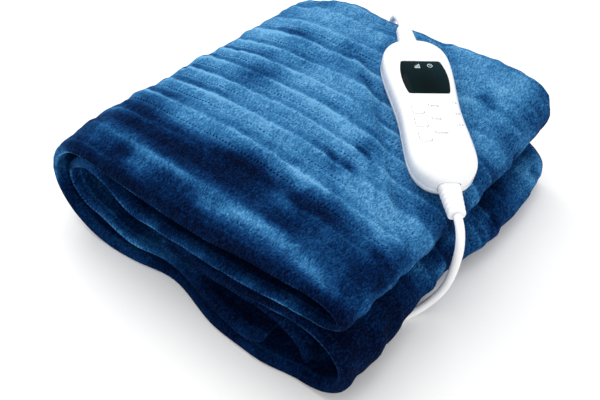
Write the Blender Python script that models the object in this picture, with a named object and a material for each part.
"""Electric heated blanket, folded into a pack, with its hand control, leads and plug.

Metres, +Z up. The origin is on the surface that the pack rests on, under its middle.
+X runs along the pack's near side, towards the folds that the hand control hangs over.
+Y runs away from the near side, along the folds.
"""
import math
from typing import NamedTuple

import bmesh
import bpy
import numpy as np
from mathutils import Matrix, Vector

MM = 0.001
GAP = 0.0003                    # clearance between pieces that touch

# ---------------------------------------------------------------- blanket, in millimetres
BAND = 295.0                    # width of the folded band, along Y
CREST_THICK = 9.0               # the band, all its plies, at a wire channel
TROUGH_THICK = 5.6              # and at the seam between two channels
TOP_RELIEF = 1.5                # how far the top layer also rises over each channel
EDGE_ROUND = 5.0                # the band's long edges are rolled over this width
SHOULDER = 44.0                 # the near edge of the top hangs over this width
FLOOR_HALF = 2.7                # mid-height of the layer that lies on the surface
RIDGE_SEAMS_Y = (-147.5, -131, -108, -79, -51, -28, -8, 14, 34, 55, 81, 110, 134, 147.5)


class Row(NamedTuple):
    """One place on the band's middle line, going from the first hem to the second."""

    section: str
    x: float                    # along the pack
    near: float                 # height at the near edge, in the middle and at the far edge
    mid: float
    far: float
    droop: float = 0.0          # how much lower the near edge hangs
    edge: float = 0.0           # how far the near edge stands out towards the viewer


class Turn(NamedTuple):
    """A fold between the rows before and after it, as half an ellipse."""

    section: str
    near: float                 # how far along X the fold reaches, near, middle and far
    mid: float
    far: float
    steps: int = 5
    swell: float = 0.0          # its share of the lower fold's swelling, FOOT_SWELL


SECTION = (
    Row("first hem, curled up", 82, 25.0, 21.0, 17.0, edge=8),
    Row("first hem, curled up", 74, 18.5, 17.0, 15.0, edge=8),
    Row("inner bottom layer", 62, 16.5, 15.5, 14.5, edge=8),
    Row("inner bottom layer", 38, 22.5, 17.0, 15.0, edge=7),
    Row("inner bottom layer", -28, 21.0, 18.0, 15.0, edge=-5),
    Row("inner bottom layer", -62, 21.5, 19.0, 16.0),
    Row("inner bottom layer", -95, 31.0, 24.0, 20.0),
    Turn("inner left fold", -124, -122, -122),
    Row("layer under the top", -95, 80.0, 73.0, 66.0),
    Row("layer under the top", -76, 74.0, 71.0, 65.0),
    Row("layer under the top", -60, 63.0, 69.0, 64.0),
    Row("layer under the top", -20, 60.5, 65.0, 60.0),
    Row("layer under the top", 30, 62.0, 61.0, 55.0),
    Row("layer under the top", 65, 64.5, 58.0, 51.0),
    Row("layer under the top", 95, 70.5, 55.5, 48.5),
    Row("layer under the top", 116, 72.5, 54.5, 49.5),
    Turn("upper right fold", 142.5, 141.5, 141),
    Row("top layer", 118, 101.0, 80.0, 98.0, droop=4),
    Row("top layer", 98, 102.4, 85.2, 101.4, droop=7),
    Row("top layer", 79, 101.8, 90.0, 101.3, droop=8),
    Row("top layer", 58, 101.0, 94.4, 101.0, droop=9),
    Row("top layer", 36, 100.5, 98.0, 99.2, droop=13),
    Row("top layer", 14, 100.0, 100.4, 97.8, droop=14),
    Row("top layer", -14, 100.0, 101.8, 97.0, droop=14),
    Row("top layer", -60, 101.0, 101.5, 99.5, droop=13),
    Row("top layer", -85, 100.0, 98.5, 95.0, droop=10),
    Row("top layer", -98, 100.5, 95.0, 90.0, droop=10),
    Turn("outer left fold", -144.5, -139.5, -137.5, steps=7),
    Row("bottom layer", -90, FLOOR_HALF, FLOOR_HALF, FLOOR_HALF, edge=3),
    Row("bottom layer", -60, FLOOR_HALF, FLOOR_HALF, FLOOR_HALF, edge=1),
    Row("bottom layer", -26, FLOOR_HALF, FLOOR_HALF, FLOOR_HALF, edge=-5),
    Row("bottom layer", 38, FLOOR_HALF, FLOOR_HALF, FLOOR_HALF, edge=8),
    Row("bottom layer", 64, FLOOR_HALF, FLOOR_HALF, FLOOR_HALF, edge=9),
    Row("bottom layer", 82, FLOOR_HALF, FLOOR_HALF, FLOOR_HALF, edge=9),
    Row("bottom layer", 110, FLOOR_HALF, FLOOR_HALF, FLOOR_HALF, edge=4),
    Turn("lower right fold", 147.5, 145, 144, steps=6, swell=1),
    Row("upper side of the lower fold", 112, 60.0, 43.5, 38.0),
    Row("upper side of the lower fold", 85, 57.0, 46.5, 39.0),
    Row("upper side of the lower fold", 60, 53.0, 48.5, 40.5),
    Row("upper side of the lower fold", 15, 50.0, 49.0, 43.0),
    Row("upper side of the lower fold", -18, 49.8, 49.0, 42.5, edge=-3),
    Turn("centre fold", -24.5, -25, -24.5, steps=3),
    Row("second hem layer", -18, 39.0, 37.8, 31.0, edge=-4),
    Row("second hem layer", 40, 40.5, 37.0, 30.5, edge=-4),
    Row("second hem layer", 80, 40.5, 35.0, 29.5, edge=-4),
    Row("second hem layer", 98, 36.0, 32.0, 27.0, edge=-4),
    Row("second hem, hanging", 110, 27.0, 25.0, 21.5, edge=-3),
    Row("second hem, hanging", 115, 13.4, 13.4, 13.4, edge=-2),
)


FOOT_SWELL = (                  # how far the lower right fold swells out beyond its row
    # y, out
    (-148, 0.0), (-105, 4.0), (-60, 1.0), (-20, 0.5), (8, 3.5), (40, 11.0), (75, 12.0),
    (108, 11.0), (134, 6.5), (148, 2.0),
)


def control_rows(rows):
    """The rows as numbers, with each turn opened into points on its half ellipse.

    Columns: x near, z near, x middle, z middle, x far, z far, droop, edge, swell.
    """
    points = []
    for index, row in enumerate(rows):
        if isinstance(row, Row):
            points.append([row.x, row.near, row.x, row.mid, row.x, row.far, row.droop, row.edge, 0])
            continue
        before, after = rows[index - 1], rows[index + 1]
        for step in range(1, row.steps + 1):
            angle = math.pi * step / (row.steps + 1)
            along = (1 - math.cos(angle)) / 2
            base = before.x + (after.x - before.x) * along
            point = []
            for nose, low, high in ((row.near, before.near, after.near),
                                    (row.mid, before.mid, after.mid),
                                    (row.far, before.far, after.far)):
                point.append(base + (nose - base) * math.sin(angle))
                point.append(low + (high - low) * along)
            point.append(before.droop + (after.droop - before.droop) * along)
            point.append(before.edge + (after.edge - before.edge) * along)
            point.append(row.swell * math.sin(angle) ** 2)
            points.append(point)
    return np.array(points)


def smooth_step(value):
    """0 below 0, 1 above 1, and a smooth rise between."""
    value = np.clip(value, 0.0, 1.0)
    return value * value * (3 - 2 * value)


def across_samples():
    """Places across the band: the rolled edges, and three to each wire channel."""
    places = [RIDGE_SEAMS_Y[0], RIDGE_SEAMS_Y[0] + 0.4 * EDGE_ROUND]
    for start, end in zip(RIDGE_SEAMS_Y, RIDGE_SEAMS_Y[1:]):
        for part in (0.0, 0.28, 0.72):
            places.append(start + (end - start) * part)
    places = [places[0], places[1]] + places[3:]
    places += [RIDGE_SEAMS_Y[-1] - 0.4 * EDGE_ROUND, RIDGE_SEAMS_Y[-1]]
    return np.array(places)


def channel_height(across):
    """1 on the crest of a wire channel and 0 in the seam beside it."""
    height = np.zeros_like(across)
    for start, end in zip(RIDGE_SEAMS_Y, RIDGE_SEAMS_Y[1:]):
        inside = (across >= start) & (across <= end)
        part = (across[inside] - start) / (end - start)
        height[inside] = np.sin(np.pi * part) ** 0.7
    return height


# ---------------------------------------------------------------- hand control, in metres
HAND_NEAR_END = Vector((0.1353, -0.0078, 0.0952))
HAND_FAR_END = Vector((0.026874, 0.102841, 0.112436))
HAND_ROLL = math.radians(5)
HAND_TOP, HAND_BOTTOM = 0.0115, 0.0125
HAND_FAR_HALF, HAND_WAIST_HALF, HAND_NEAR_HALF = 0.0280, 0.0242, 0.0255


def hand_frame():
    """The hand control's frame: X across it, Y towards its far end, Z out of its face."""
    along = (HAND_FAR_END - HAND_NEAR_END).normalized()
    across = along.cross(Vector((0, 0, 1))).normalized()
    face = across.cross(along)
    turn = Matrix.Rotation(HAND_ROLL, 3, along)
    across, face = turn @ across, turn @ face
    middle = (HAND_NEAR_END + HAND_FAR_END) / 2
    matrix = Matrix((across, along, face)).transposed().to_4x4()
    matrix.translation = middle
    return matrix


HAND_LENGTH = (HAND_FAR_END - HAND_NEAR_END).length
HAND_FRAME = hand_frame()


def pressed_height(x, y, z):
    """Lower a height of the top layer where the hand control lies on it."""
    inverse = HAND_FRAME.inverted()
    local = inverse @ Vector((x, y, z))
    reach_x = abs(local.x) / (HAND_FAR_HALF + 0.003)
    reach_y = abs(local.y) / (HAND_LENGTH / 2 + 0.004)
    inside = 1 - float(smooth_step((max(reach_x, reach_y) - 1.05) / 0.5))
    side = max(-HAND_FAR_HALF, min(HAND_FAR_HALF, local.x))
    along = max(-HAND_LENGTH / 2, min(HAND_LENGTH / 2, local.y))
    top = (HAND_FRAME @ Vector((side, along, -HAND_BOTTOM))).z - 2.4 * GAP
    return z - max(0.0, z - top) * inside


# ---------------------------------------------------------------- leads, in metres
CORD_RADIUS = 0.00325
ON_FLOOR = CORD_RADIUS + 0.0001             # the middle of a cord that lies on the surface
BLANKET_ROUTE = (                           # from the hand control, past the folds and under them
    (0.1560, -0.0290, 0.0914), (0.1590, -0.0321, 0.0897), (0.1614, -0.0347, 0.0868),
    (0.1631, -0.0366, 0.0829), (0.1641, -0.0377, 0.0781), (0.1644, -0.0381, 0.0727),
    (0.1641, -0.0378, 0.0668), (0.1635, -0.0370, 0.0604), (0.1627, -0.0360, 0.0536),
    (0.1617, -0.0350, 0.0466), (0.1605, -0.0343, 0.0396), (0.1591, -0.0341, 0.0328),
    (0.1575, -0.0346, 0.0264), (0.1556, -0.0359, 0.0206), (0.1535, -0.0380, 0.0155),
    (0.1512, -0.0408, 0.0113), (0.1489, -0.0441, 0.0080), (0.1467, -0.0478, 0.0056),
    (0.1447, -0.0517, 0.0042), (0.1428, -0.0557, 0.0036), (0.1406, -0.0599, ON_FLOOR),
    (0.1372, -0.0646, ON_FLOOR), (0.1322, -0.0690, ON_FLOOR), (0.1257, -0.0722, ON_FLOOR),
    (0.1180, -0.0742, 0.0035), (0.1105, -0.0750, 0.0039), (0.1070, -0.0750, 0.0040),
)
UNDER_PACK = 19                             # the first point of that route under the fold
MAINS_ROUTE = (                             # from the hand control, down behind the pack
    (0.0048, 0.1253, 0.1152), (-0.0020, 0.1322, 0.1147), (-0.0082, 0.1385, 0.1124),
    (-0.0136, 0.1441, 0.1086), (-0.0182, 0.1488, 0.1032), (-0.0215, 0.1523, 0.0965),
    (-0.0236, 0.1546, 0.0882), (-0.0247, 0.1557, 0.0760), (-0.0252, 0.1562, 0.0620),
    (-0.0253, 0.1566, 0.0490), (-0.0254, 0.1574, 0.0370), (-0.0257, 0.1592, 0.0265),
    (-0.0264, 0.1622, 0.0180), (-0.0275, 0.1662, 0.0113), (-0.0290, 0.1712, 0.0068),
    (-0.0308, 0.1767, 0.0043), (-0.0328, 0.1822, 0.0035), (-0.0350, 0.1882, ON_FLOOR),
    (-0.0375, 0.1945, ON_FLOOR),
)
PLUG_ROUTE = (                              # from the coil, over the lead that comes in
    (-0.0496, 0.1733, 0.0107), (-0.0420, 0.1753, 0.0116), (-0.0335, 0.1773, 0.0118),
    (-0.0250, 0.1793, 0.0109), (-0.0160, 0.1814, 0.0091), (-0.0070, 0.1832, 0.0076),
    (0.0010, 0.1842, 0.0071), (0.0070, 0.1845, 0.0070), (0.0124, 0.1845, 0.0070),
)
CONNECTOR_SIZE = Vector((0.034, 0.015, 0.0080))
LIFT_HEIGHT = 10.8                          # how far the fold is lifted over the lead, mm
LIFT_REACH = 18.0                           # how far from the lead that reaches, mm

COIL_CENTRE = Vector((-0.085, 0.208, 0.0))
COIL_RADIUS = 0.0365                        # to the middle of its turns
COIL_WIDE = 6 * CORD_RADIUS                 # three turns side by side
COIL_HIGH = 4 * CORD_RADIUS                 # two turns on each other
COIL_LIFT = 0.0013                          # it lies on its tie's strap
TIE_THICK, TIE_WIDE = 0.0009, 0.012

PLUG_REAR = Vector((0.0305, 0.1845, 0.0070))
PLUG_SIZE = Vector((0.035, 0.036, 0.0137))  # across the pins, along them and thick
PIN_SPACING, PIN_RADIUS, PIN_LENGTH, PIN_ROOT = 0.0190, 0.0020, 0.0190, 0.0050
PLUG_RELIEF = 0.0172


def lead_distance(x, y):
    """How far a place is, seen from above, from the part of the lead under the pack."""
    line = [Vector(point[:2]) for point in BLANKET_ROUTE[UNDER_PACK:]]
    line.append(line[-1] - Vector((CONNECTOR_SIZE.x + 0.006, 0)))
    here = Vector((x, y))
    best = 1.0
    for start, end in zip(line, line[1:]):
        step = end - start
        part = max(0.0, min(1.0, (here - start).dot(step) / step.length_squared))
        best = min(best, (here - start - step * part).length)
    return best


def lifted(x, y, z):
    """Raise the lower layers where the lead and its connector lie under them."""
    reach = lead_distance(x * MM, y * MM) / (LIFT_REACH * MM)
    flat = 0.5
    near = 1 - float(smooth_step((reach - flat) / (1.3 - flat)))
    fade = 1 - float(smooth_step((z - 3) / 34))
    return z + LIFT_HEIGHT * near * fade


def blanket_grid():
    """Upper and lower face points of the band, station by station, in metres."""
    control = control_rows(SECTION)
    across = across_samples()
    channel = channel_height(across)
    top_rows = top_layer_span(control)
    centre = np.zeros((len(control), len(across), 3))
    for j, y in enumerate(across):
        side = y / (BAND / 2)
        weights = (side * (side - 1) / 2, 1 - side * side, side * (side + 1) / 2)
        x = sum(w * control[:, 2 * k] for k, w in enumerate(weights))
        z = sum(w * control[:, 2 * k + 1] for k, w in enumerate(weights))
        x = x + control[:, 8] * np.interp(y, *np.transpose(FOOT_SWELL))
        hang = max(0.0, (-BAND / 2 + SHOULDER - y) / SHOULDER) ** 1.8
        z = z - control[:, 6] * hang
        outward = smooth_step((-y / (BAND / 2) - 0.55) / 0.45)
        centre[:, j, 0] = x
        centre[:, j, 1] = y - control[:, 7] * outward
        centre[:, j, 2] = z + top_rows * TOP_RELIEF * (channel[j] - 0.5)
    for i in range(centre.shape[0]):
        for j in range(centre.shape[1]):
            x, y, z = centre[i, j]
            centre[i, j, 2] = lifted(x, y, z)
    return centre * MM, across, channel, top_rows


def top_layer_span(control):
    """1 on the rows of the top layer, fading to 0 round the folds beside it."""
    return smooth_step((control[:, 3] - 70) / 12)


def faces_of_band(centre, across, channel, top_rows):
    """Offset the middle surface to its two faces, with rolled edges and a flat underside."""
    tangent = np.gradient(centre, axis=0)
    normal = np.stack([tangent[..., 2], np.zeros(tangent.shape[:2]), -tangent[..., 0]], axis=-1)
    normal /= np.linalg.norm(normal, axis=-1, keepdims=True)
    half = (TROUGH_THICK + (CREST_THICK - TROUGH_THICK) * channel) / 2
    from_edge = BAND / 2 - np.abs(across)
    roll = np.clip(from_edge / EDGE_ROUND, 0, 1)
    half = half * (0.42 + 0.58 * np.sqrt(1 - (1 - roll) ** 2)) + (1 - roll) * 0.8
    half = np.repeat(half[None, :], centre.shape[0], axis=0)
    half[0] *= 0.5
    half[-1] *= 0.5
    offset = normal * (half * MM)[..., None]
    upper, lower = centre + offset, centre - offset
    for i, j in np.argwhere(np.repeat(top_rows[:, None] > 0, centre.shape[1], axis=1)):
        level = pressed_height(*upper[i, j])
        if level < upper[i, j, 2]:
            upper[i, j, 2] = level
            lower[i, j, 2] = min(lower[i, j, 2], level - 0.5 * TROUGH_THICK * MM)
    upper[..., 2] = np.maximum(upper[..., 2], 0.0)
    lower[..., 2] = np.maximum(lower[..., 2], 0.0)
    return upper, lower


def sheet_solid(name, upper, lower):
    """Close two grids of points into one solid."""
    rows, columns = upper.shape[:2]
    mesh = bmesh.new()
    top = [[mesh.verts.new(upper[i, j]) for j in range(columns)] for i in range(rows)]
    low = [[mesh.verts.new(lower[i, j]) for j in range(columns)] for i in range(rows)]
    for i in range(rows - 1):
        for j in range(columns - 1):
            mesh.faces.new((top[i][j], top[i + 1][j], top[i + 1][j + 1], top[i][j + 1]))
            mesh.faces.new((low[i][j], low[i][j + 1], low[i + 1][j + 1], low[i + 1][j]))
        mesh.faces.new((top[i][0], low[i][0], low[i + 1][0], top[i + 1][0]))
        mesh.faces.new((top[i][-1], top[i + 1][-1], low[i + 1][-1], low[i][-1]))
    for j in range(columns - 1):
        mesh.faces.new((top[0][j], top[0][j + 1], low[0][j + 1], low[0][j]))
        mesh.faces.new((top[-1][j], low[-1][j], low[-1][j + 1], top[-1][j + 1]))
    return mesh_object(name, mesh)


# ---------------------------------------------------------------- shared helpers
def mesh_object(name, mesh):
    """Turn a bmesh into a linked object, with its faces pointing out."""
    bmesh.ops.recalc_face_normals(mesh, faces=mesh.faces)
    data = bpy.data.meshes.new(name)
    mesh.to_mesh(data)
    mesh.free()
    thing = bpy.data.objects.new(name, data)
    bpy.context.scene.collection.objects.link(thing)
    return thing


def finish(thing, colour, roughness, metallic=0.0):
    """Give an object its own Principled material."""
    material = bpy.data.materials.new(thing.name + "_finish")
    material.use_nodes = True
    shader = material.node_tree.nodes["Principled BSDF"]
    shader.inputs["Base Color"].default_value = (*colour, 1.0)
    shader.inputs["Roughness"].default_value = roughness
    shader.inputs["Metallic"].default_value = metallic
    thing.data.materials.append(material)
    return thing


def loft(name, rings, matrix=None):
    """A closed solid through rings of equally many points, with flat ends."""
    mesh = bmesh.new()
    placed = [[mesh.verts.new(point) for point in ring] for ring in rings]
    count = len(placed[0])
    for low, high in zip(placed, placed[1:]):
        for i in range(count):
            j = (i + 1) % count
            mesh.faces.new((low[i], low[j], high[j], high[i]))
    mesh.faces.new(placed[0][::-1])
    mesh.faces.new(placed[-1])
    thing = mesh_object(name, mesh)
    if matrix is not None:
        thing.matrix_world = matrix
    return thing


def rounded_rectangle(width, depth, radius, arc=4):
    """Points round a rectangle with round corners, anticlockwise."""
    points = []
    for corner, (sx, sy) in enumerate(((1, 1), (-1, 1), (-1, -1), (1, -1))):
        for step in range(arc + 1):
            angle = math.pi / 2 * (corner + step / arc)
            x = sx * (width / 2 - radius) + radius * math.cos(angle)
            y = sy * (depth / 2 - radius) + radius * math.sin(angle)
            points.append((x, y))
    return points


def plate(name, width, depth, radius, levels, matrix):
    """A rounded plate: levels are (height, inset) from its underside up."""
    rings = []
    for height, inset in levels:
        outline = rounded_rectangle(width - 2 * inset, depth - 2 * inset, radius - inset)
        rings.append([(x, y, height) for x, y in outline])
    return loft(name, rings, matrix)


def cut(target, cutters):
    """Subtract hidden cutters from a solid."""
    for cutter in cutters:
        cutter.hide_render = True
        cutter.display_type = "WIRE"
        modifier = target.modifiers.new("cut_" + cutter.name, "BOOLEAN")
        modifier.operation = "DIFFERENCE"
        modifier.object = cutter


def smooth_route(points, spacing):
    """Points on a smooth curve through a route, about a spacing apart."""
    route = [Vector(point) for point in points]
    route = [2 * route[0] - route[1]] + route + [2 * route[-1] - route[-2]]
    fine = []
    for before, start, end, after in zip(route, route[1:], route[2:], route[3:]):
        for step in range(12):
            t = step / 12
            fine.append(0.5 * (2 * start + (end - before) * t
                               + (2 * before - 5 * start + 4 * end - after) * t ** 2
                               + (3 * start - before - 3 * end + after) * t ** 3))
    fine.append(route[-2])
    lengths = [0.0]
    for start, end in zip(fine, fine[1:]):
        lengths.append(lengths[-1] + (end - start).length)
    count = max(2, round(lengths[-1] / spacing))
    places = np.linspace(0, lengths[-1], count + 1)
    return [Vector(point) for point in np.stack(
        [np.interp(places, lengths, [point[axis] for point in fine]) for axis in range(3)], axis=1)]


def cord(name, points):
    """A plain tube along a route, as a curve with a bevel and filled caps."""
    line = smooth_route(points, 3 * CORD_RADIUS)
    curve = bpy.data.curves.new(name, "CURVE")
    curve.dimensions = "3D"
    curve.bevel_depth = CORD_RADIUS
    curve.bevel_resolution = 2
    curve.use_fill_caps = True
    spline = curve.splines.new("POLY")
    spline.points.add(len(line) - 1)
    for point, place in zip(spline.points, line):
        point.co = (*place, 1.0)
    thing = bpy.data.objects.new(name, curve)
    bpy.context.scene.collection.objects.link(thing)
    return finish(thing, WHITE, 0.4)


BLUE = (0.020, 0.130, 0.330)
WHITE = (0.86, 0.87, 0.87)
GREY = (0.62, 0.64, 0.65)
GLASS = (0.004, 0.020, 0.026)
BRASS = (0.78, 0.70, 0.50)


# ---------------------------------------------------------------- hand control
END_ARC_NEAR, END_ARC_FAR = 0.032, 0.031    # how long the rounded ends are
PARTING = -0.0030                           # height of the shells' parting line
UPPER_LEVELS = (                            # height in the hand control's frame, inset there
    (PARTING + GAP / 2, 0.0), (0.0040, 0.0003), (0.0078, 0.0016), (0.0103, 0.0042),
    (HAND_TOP, 0.0082),
)
LOWER_LEVELS = (
    (PARTING - GAP / 2, 0.0), (-0.0048, 0.0005), (-0.0090, 0.0022), (-0.0115, 0.0050),
    (-HAND_BOTTOM, 0.0092),
)
WINDOW_CENTRE = (0.0010, 0.0278)
WINDOW_SIDE = (                             # along from the window's middle, half its width there
    (-0.0190, 0.0142), (-0.0183, 0.0161), (-0.0165, 0.0168), (-0.0090, 0.0182), (0.0, 0.0188),
    (0.0090, 0.0182), (0.0165, 0.0166), (0.0183, 0.0158), (0.0190, 0.0138),
)
WINDOW_THICK, WINDOW_SINK = 0.0012, 0.0001
BUTTON_X, BUTTON_SIDE, BUTTON_PROUD, BUTTON_DEEP = -0.0120, 0.0092, 0.0006, 0.0022
BUTTON_TRAVEL = 0.0006
BUTTONS = (                                 # name, place along the hand control
    ("button_heat", -0.0090), ("button_timer", -0.0235), ("button_power", -0.0380),
)
RELIEF_ROOT, RELIEF_OUT = 0.003, 0.0245
RELIEF_BASE, RELIEF_TIP = Vector((0.0166, 0.0116)), Vector((0.0125, 0.0098))
RELIEF_LEVEL = -0.0005
RELIEF_RIBS = 5


def hand_half_width(y):
    """Half the hand control's width at a place along it, between its rounded ends."""
    half = HAND_LENGTH / 2
    if y > 0:
        return HAND_WAIST_HALF + (HAND_FAR_HALF - HAND_WAIST_HALF) * float(
            smooth_step((y + 0.010) / (half - END_ARC_FAR + 0.010)))
    return HAND_WAIST_HALF + (HAND_NEAR_HALF - HAND_WAIST_HALF) * float(
        smooth_step((-y - 0.010) / (half - END_ARC_NEAR - 0.010)))


def hand_outline(inset):
    """Points round the hand control, drawn in by an inset."""
    half = HAND_LENGTH / 2
    side = []
    near_bend, far_bend = -half + END_ARC_NEAR, half - END_ARC_FAR
    for step in range(9):
        angle = math.pi / 2 * (1 - step / 9)
        side.append((HAND_NEAR_HALF * math.cos(angle) ** 0.8,
                     near_bend - END_ARC_NEAR * math.sin(angle) ** 0.8))
    for step in range(8):
        y = near_bend + (far_bend - near_bend) * step / 8
        side.append((hand_half_width(y), y))
    for step in range(9):
        angle = math.pi / 2 * step / 9
        side.append((HAND_FAR_HALF * math.cos(angle) ** 0.82,
                     far_bend + END_ARC_FAR * math.sin(angle) ** 0.82))
    outline = side + [(0.0, half)] + [(-x, y) for x, y in side[:0:-1]]
    drawn = []
    count = len(outline)
    for i, (x, y) in enumerate(outline):
        before, after = outline[i - 1], outline[(i + 1) % count]
        normal = Vector((after[1] - before[1], before[0] - after[0])).normalized()
        drawn.append((x - normal.x * inset, y - normal.y * inset))
    return drawn


def in_hand(x, y, z):
    """A place in the hand control's frame, as a world matrix."""
    return HAND_FRAME @ Matrix.Translation((x, y, z))


def relief_outline(size):
    """Points round a strain relief's section."""
    return rounded_rectangle(size.x, size.y, 0.42 * size.y, arc=2)


def relief_notch(name, end):
    """The notch that a strain relief's root sits in, at one end of the shells."""
    outline = relief_outline(RELIEF_BASE + Vector((2 * GAP, 2 * GAP)))
    rings = []
    for along in (-RELIEF_ROOT - GAP, 0.02):
        rings.append([(x, end * (HAND_LENGTH / 2 + along), RELIEF_LEVEL + z) for x, z in outline])
    return loft(name, rings, HAND_FRAME)


def window_outline(inset):
    """Points round the display window, with its bulging sides, drawn in by an inset."""
    shorter = 1 - inset / WINDOW_SIDE[-1][0]
    side = [(half - inset, y * shorter) for y, half in WINDOW_SIDE]
    return side + [(-x, y) for x, y in side[::-1]]


def window_solid(name, levels):
    """A solid of the window's outline: levels are (height from the face, inset)."""
    rings = [[(x, y, height) for x, y in window_outline(inset)] for height, inset in levels]
    return loft(name, rings, in_hand(*WINDOW_CENTRE, HAND_TOP))


def make_shells():
    """The upper and lower shells, with the window's recess and the buttons' pockets."""
    notches = [relief_notch("notch_near", -1), relief_notch("notch_far", 1)]
    lower = loft("handset_lower_shell",
                 [[(x, y, height) for x, y in hand_outline(inset)] for height, inset in LOWER_LEVELS],
                 HAND_FRAME)
    cut(lower, notches)
    finish(lower, WHITE, 0.3)
    upper = loft("handset_upper_shell",
                 [[(x, y, height) for x, y in hand_outline(inset)] for height, inset in UPPER_LEVELS],
                 HAND_FRAME)
    recess_depth = WINDOW_THICK + GAP + WINDOW_SINK
    recess = window_solid("recess", ((-recess_depth, -GAP), (0.005, -GAP)))
    pockets = []
    for name, y in BUTTONS:
        depth = BUTTON_DEEP + BUTTON_TRAVEL + GAP
        pockets.append(plate("pocket_" + name, BUTTON_SIDE + 2 * GAP, BUTTON_SIDE + 2 * GAP, 0.0024,
                             ((-depth, 0), (0.005, 0)), in_hand(BUTTON_X, y, HAND_TOP)))
    cut(upper, notches + [recess] + pockets)
    finish(upper, WHITE, 0.25)


def make_window():
    """The dark display window, flush with the upper shell."""
    levels = ((-WINDOW_THICK - WINDOW_SINK, 0), (-WINDOW_SINK - 0.0003, 0), (-WINDOW_SINK, 0.0003))
    window = window_solid("display_window", levels)
    finish(window, GLASS, 0.08)


def make_buttons():
    """Three square push buttons that go down into their pockets."""
    for name, y in BUTTONS:
        button = plate(name, BUTTON_SIDE, BUTTON_SIDE, 0.0022,
                       ((-BUTTON_DEEP, 0), (BUTTON_PROUD - 0.0005, 0), (BUTTON_PROUD, 0.0005)),
                       in_hand(BUTTON_X, y, HAND_TOP))
        finish(button, WHITE, 0.35)


def relief_sections():
    """Ribs and grooves of a strain relief: place along it, and size."""
    sections = [(-RELIEF_ROOT, RELIEF_BASE), (0.0035, RELIEF_BASE * 0.985)]
    pitch = (RELIEF_OUT - 0.0035) / RELIEF_RIBS
    for rib in range(RELIEF_RIBS):
        start = 0.0035 + pitch * rib
        for part, shrink in ((0.06, 0.0016), (0.30, 0.0016), (0.42, 0.0), (1.0, 0.0)):
            place = start + pitch * part
            size = RELIEF_BASE.lerp(RELIEF_TIP, place / RELIEF_OUT)
            sections.append((place, size - Vector((shrink, shrink))))
    return sections


def make_relief(name, end):
    """A tapered, ribbed strain relief at one end of the hand control."""
    rings = []
    for place, size in relief_sections():
        rings.append([(x, end * (HAND_LENGTH / 2 + place), RELIEF_LEVEL + z)
                      for x, z in relief_outline(size)])
    finish(loft(name, rings, HAND_FRAME), WHITE, 0.4)


def relief_exit(end):
    """Where a cord leaves a strain relief, just beyond its end."""
    out = HAND_LENGTH / 2 + RELIEF_OUT + 2 * GAP
    return tuple(HAND_FRAME @ Vector((0, end * out, RELIEF_LEVEL)))


# ---------------------------------------------------------------- leads, coil and plug
def make_leads():
    """The three free stretches of cord."""
    cord("blanket_lead", (relief_exit(-1),) + BLANKET_ROUTE)
    cord("mains_lead", (relief_exit(1),) + MAINS_ROUTE)
    cord("plug_lead", PLUG_ROUTE)


def make_connector():
    """The flat moulded connector at the end of the blanket lead, under the fold."""
    end = Vector(BLANKET_ROUTE[-1])
    length, width, height = CONNECTOR_SIZE
    matrix = Matrix.Translation((end.x - GAP - length / 2, end.y, 0.0))
    levels = ((0.0, 0.0006), (0.0006, 0.0), (height - 0.0012, 0.0), (height, 0.0012))
    finish(plate("blanket_connector", length, width, 0.003, levels, matrix), WHITE, 0.4)


def make_coil():
    """The outer shape of the wound mains lead: a turned ring with round edges."""
    section = rounded_rectangle(COIL_WIDE, COIL_HIGH, CORD_RADIUS, arc=2)
    mesh = bmesh.new()
    steps = 48
    rings = []
    for step in range(steps):
        angle = 2 * math.pi * step / steps
        rings.append([mesh.verts.new(COIL_CENTRE + Vector((
            (COIL_RADIUS + x) * math.cos(angle), (COIL_RADIUS + x) * math.sin(angle),
            COIL_LIFT + COIL_HIGH / 2 + y))) for x, y in section])
    for ring, after in zip(rings, rings[1:] + rings[:1]):
        for i in range(len(section)):
            j = (i + 1) % len(section)
            mesh.faces.new((ring[i], ring[j], after[j], after[i]))
    finish(mesh_object("mains_coil", mesh), WHITE, 0.4)


def make_tie():
    """A strap closed round the coil, on the side away from the plug."""
    wide = COIL_WIDE / 2 + 2 * GAP + 0.0006
    high = COIL_HIGH / 2 + GAP
    outline_in = rounded_rectangle(2 * wide, 2 * high, 0.0030, arc=3)
    outline_out = rounded_rectangle(2 * (wide + TIE_THICK), 2 * (high + TIE_THICK), 0.0038, arc=3)
    mesh = bmesh.new()
    rings = []
    for outline, along in ((outline_in, -1), (outline_out, -1), (outline_out, 1), (outline_in, 1)):
        rings.append([mesh.verts.new(COIL_CENTRE + Vector((
            -COIL_RADIUS + x, along * TIE_WIDE / 2, COIL_LIFT + COIL_HIGH / 2 + z)))
            for x, z in outline])
    for ring, after in zip(rings, rings[1:] + rings[:1]):
        for i in range(len(ring)):
            j = (i + 1) % len(ring)
            mesh.faces.new((ring[i], ring[j], after[j], after[i]))
    finish(mesh_object("coil_tie", mesh), GREY, 0.7)


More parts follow.
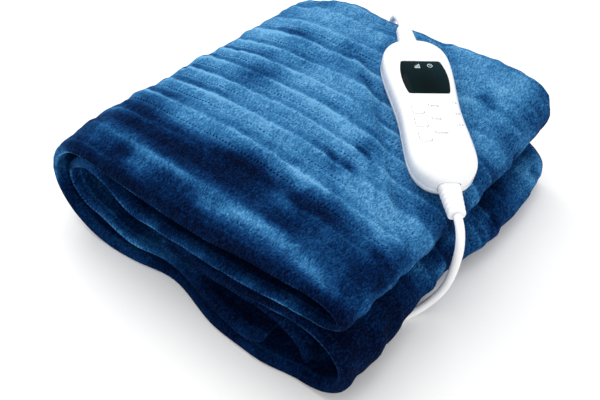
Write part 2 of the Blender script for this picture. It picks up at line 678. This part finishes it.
def make_plug():
    """A plain two-pin plug with its ribbed relief, lying flat behind the pack."""
    wide, long, thick = PLUG_SIZE
    matrix = Matrix.Translation(PLUG_REAR)
    stations = (                            # along the pins, width there, thickness there
        (0.0, 0.44, 0.80), (0.003, 0.52, 0.96), (0.011, 0.60, 1.0), (0.018, 0.86, 1.0),
        (0.023, 1.0, 1.0), (0.0345, 1.0, 1.0), (long, 0.94, 0.90),
    )
    rings = []
    for along, width, depth in stations:
        outline = rounded_rectangle(wide * width, thick * depth, 0.0042, arc=3)
        rings.append([(along, y, z) for y, z in outline])
    body = loft("plug_body", rings, matrix)
    bores = []
    for side, name in ((-1, "left"), (1, "right")):
        turn = Matrix.Rotation(math.pi / 2, 4, "Y")
        centre = PLUG_REAR + Vector((long, side * PIN_SPACING / 2, 0))
        bores.append(rod("bore_" + name, PIN_RADIUS + GAP, PIN_ROOT + GAP + 0.01,
                         Matrix.Translation(centre - Vector((PIN_ROOT + GAP, 0, 0))) @ turn))
        pin = rod("plug_pin_" + name, PIN_RADIUS, PIN_LENGTH + PIN_ROOT,
                  Matrix.Translation(centre - Vector((PIN_ROOT, 0, 0))) @ turn, tip=0.0008)
        finish(pin, BRASS, 0.3, 1.0)
    cut(body, bores)
    finish(body, WHITE, 0.4)
    rings = []
    ribs = 4
    pitch = PLUG_RELIEF / ribs
    for rib in range(ribs):
        for part, shrink in ((0.0, 0.0), (0.6, 0.0), (0.66, 0.0009), (0.94, 0.0009)):
            along = pitch * (rib + part)
            size = 0.0092 + 0.0040 * along / PLUG_RELIEF
            outline = rounded_rectangle(size - shrink, 0.9 * size - shrink, 0.003, arc=2)
            rings.append([(along - PLUG_RELIEF - GAP, y, z) for y, z in outline])
    outline = rounded_rectangle(0.0132, 0.0118, 0.003, arc=2)
    rings.append([(-GAP, y, z) for y, z in outline])
    finish(loft("plug_relief", rings, matrix), WHITE, 0.4)


def rod(name, radius, length, matrix, tip=0.0):
    """A round bar from its origin along its own Z, with a chamfered tip."""
    sides = 20
    rings = []
    for z, r in ((0, radius), (length - tip, radius), (length, radius - tip)):
        rings.append([(r * math.cos(2 * math.pi * i / sides), r * math.sin(2 * math.pi * i / sides), z)
                      for i in range(sides)])
    if not tip:
        rings.pop()
    return loft(name, rings, matrix)


def make_blanket():
    """The folded, ridged blanket as one solid."""
    upper, lower = faces_of_band(*blanket_grid())
    finish(sheet_solid("blanket", upper, lower), BLUE, 0.9)


def clear_scene():
    """Remove whatever the scene starts with."""
    for thing in list(bpy.data.objects):
        bpy.data.objects.remove(thing, do_unlink=True)


def main():
    """Build every piece."""
    clear_scene()
    make_blanket()
    make_shells()
    make_window()
    make_buttons()
    make_relief("relief_near", -1)
    make_relief("relief_far", 1)
    make_leads()
    make_connector()
    make_coil()
    make_tie()
    make_plug()


main()
